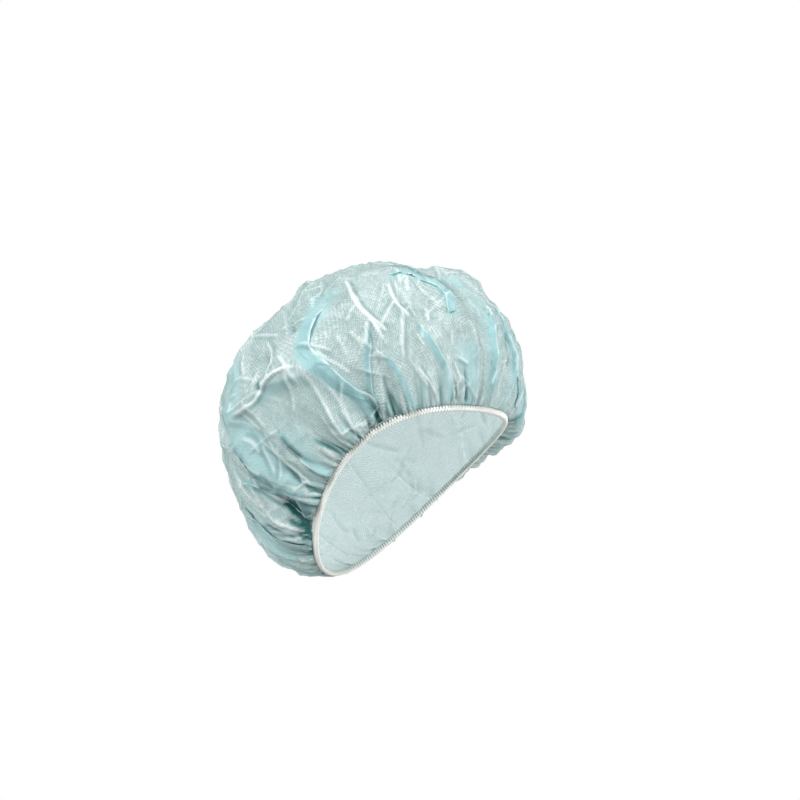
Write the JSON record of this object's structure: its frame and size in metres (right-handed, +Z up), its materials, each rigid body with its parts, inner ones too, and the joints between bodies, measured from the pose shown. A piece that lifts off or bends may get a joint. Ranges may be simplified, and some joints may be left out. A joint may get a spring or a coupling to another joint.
{
  "type": "disposable bouffant hairnet",
  "caption": "Gathered dome of thin see-through non-woven cloth on a narrow elastic edge, held in its worn, puffed-out form.",
  "frame": {"origin": "centre of the elastic edge, where the head goes in", "axes": "+Z up as worn on an upright head; -Y towards the forehead; +X towards the wearer's left; the edge climbs from the nape at +Y to the forehead at -Y"},
  "size_m": [0.2627, 0.2674, 0.2511],
  "materials": {
    "nonwoven_cloth": "light aqua spun-bonded non-woven, matt, thin and see-through, with fine embossed dots",
    "elastic": "cream covered elastic and overlock thread, matt"
  },
  "bodies": {
    "root": {"crown": "nonwoven_cloth", "elastic_band": "elastic"}
  },
  "joints": []
}
